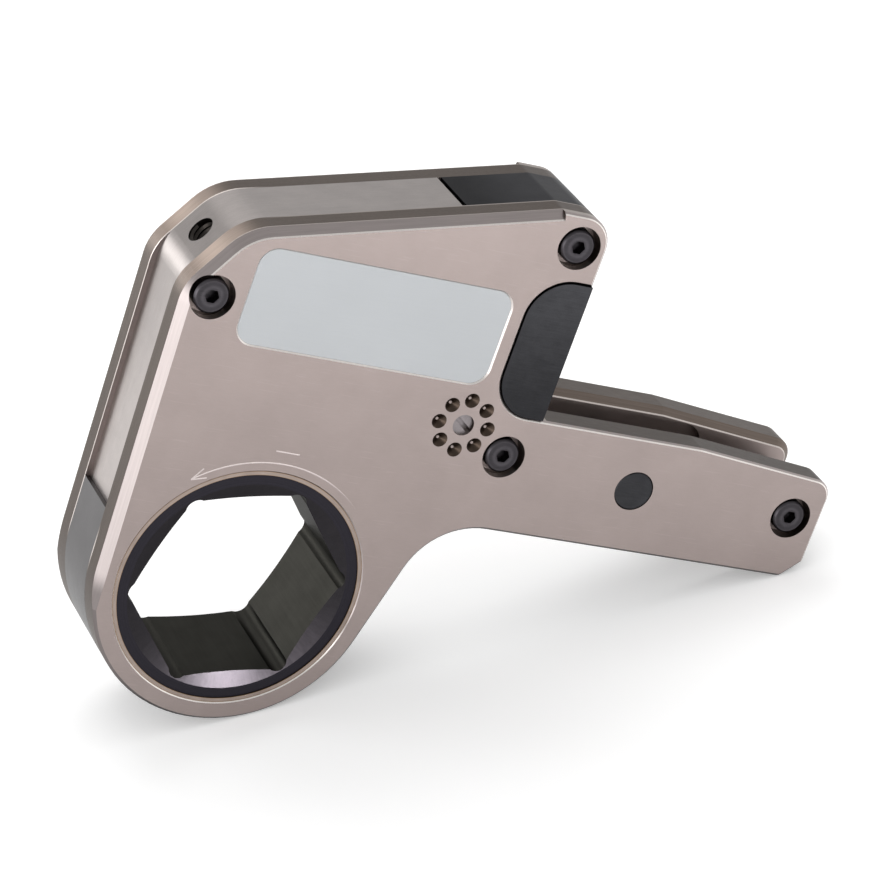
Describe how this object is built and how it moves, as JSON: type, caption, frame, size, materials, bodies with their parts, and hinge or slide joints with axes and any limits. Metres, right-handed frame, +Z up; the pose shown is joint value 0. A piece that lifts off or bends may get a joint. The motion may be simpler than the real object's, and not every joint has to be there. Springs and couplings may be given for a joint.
{
  "type": "hydraulic torque wrench ratchet cassette",
  "caption": "Low-profile hexagon ratchet head of a hydraulic torque wrench: two side plates around a toothed ratchet, lever and pawls, with a forked tail.",
  "frame": {"origin": "hexagon axis at the middle of the thickness", "axes": "+Z up with the head standing on its ring and the heel of its tail, +X towards the tail, -Y out of the front plate"},
  "size_m": [0.1861, 0.031, 0.1242],
  "materials": {
    "plate_nickel": "satin nickel",
    "spacer_steel": "brushed nickel",
    "black_steel": "black oxide",
    "black_screw": "black oxide",
    "ratchet_steel": "dark phosphate",
    "bushing_bronze": "turned bronze",
    "name_plate": "bare satin",
    "mechanism_steel": "ground hardened steel",
    "spring_steel": "drawn wire"
  },
  "bodies": {
    "housing": {"front_side_plate": "plate_nickel", "back_side_plate": "plate_nickel", "name_plate": "name_plate", "front_plate_screws": "black_screw", "back_plate_screws": "black_screw", "front_ratchet_bushing": "bushing_bronze", "back_ratchet_bushing": "bushing_bronze", "shroud_spacer": "spacer_steel", "ratchet_guard": "spacer_steel", "reaction_block": "black_steel", "pawl_guide": "mechanism_steel", "tail_spacer": "mechanism_steel", "latch_pin": "black_steel", "slotted_stud": "spacer_steel", "holding_pawl_spring": "spring_steel"},
    "lever": {"front_drive_plate": "mechanism_steel", "back_drive_plate": "mechanism_steel", "drive_pin": "mechanism_steel", "pawl_carrier": "mechanism_steel", "carrier_dowels": "mechanism_steel", "drive_pawl_springs": "spring_steel"},
    "drive_pawl": {"drive_pawl": "mechanism_steel"},
    "holding_pawl": {"holding_pawl": "mechanism_steel"},
    "ratchet": {"ratchet_wheel": "ratchet_steel"}
  },
  "joints": [
    {"name": "ratchet_spin", "type": "hinge", "parent": "housing", "child": "ratchet", "pos_m": [0, 0, 0], "axis": [0, -1, 0], "continuous": true},
    {"name": "drive_lever_swing", "type": "hinge", "parent": "housing", "child": "lever", "pos_m": [0, 0, 0], "axis": [0, -1, 0], "range_deg": [0, 30]},
    {"name": "drive_pawl_lift", "type": "slide", "parent": "lever", "child": "drive_pawl", "axis": [0.6919, 0, 0.722], "range_m": [0, 0.0019], "stiffness_N_per_m": 4000, "springref_m": -0.001, "deforming": ["drive_pawl_springs"]},
    {"name": "holding_pawl_lift", "type": "slide", "parent": "housing", "child": "holding_pawl", "axis": [0.9792, 0, 0.2031], "range_m": [0, 0.0019], "stiffness_N_per_m": 2500, "springref_m": -0.001, "deforming": ["holding_pawl_spring"]}
  ]
}
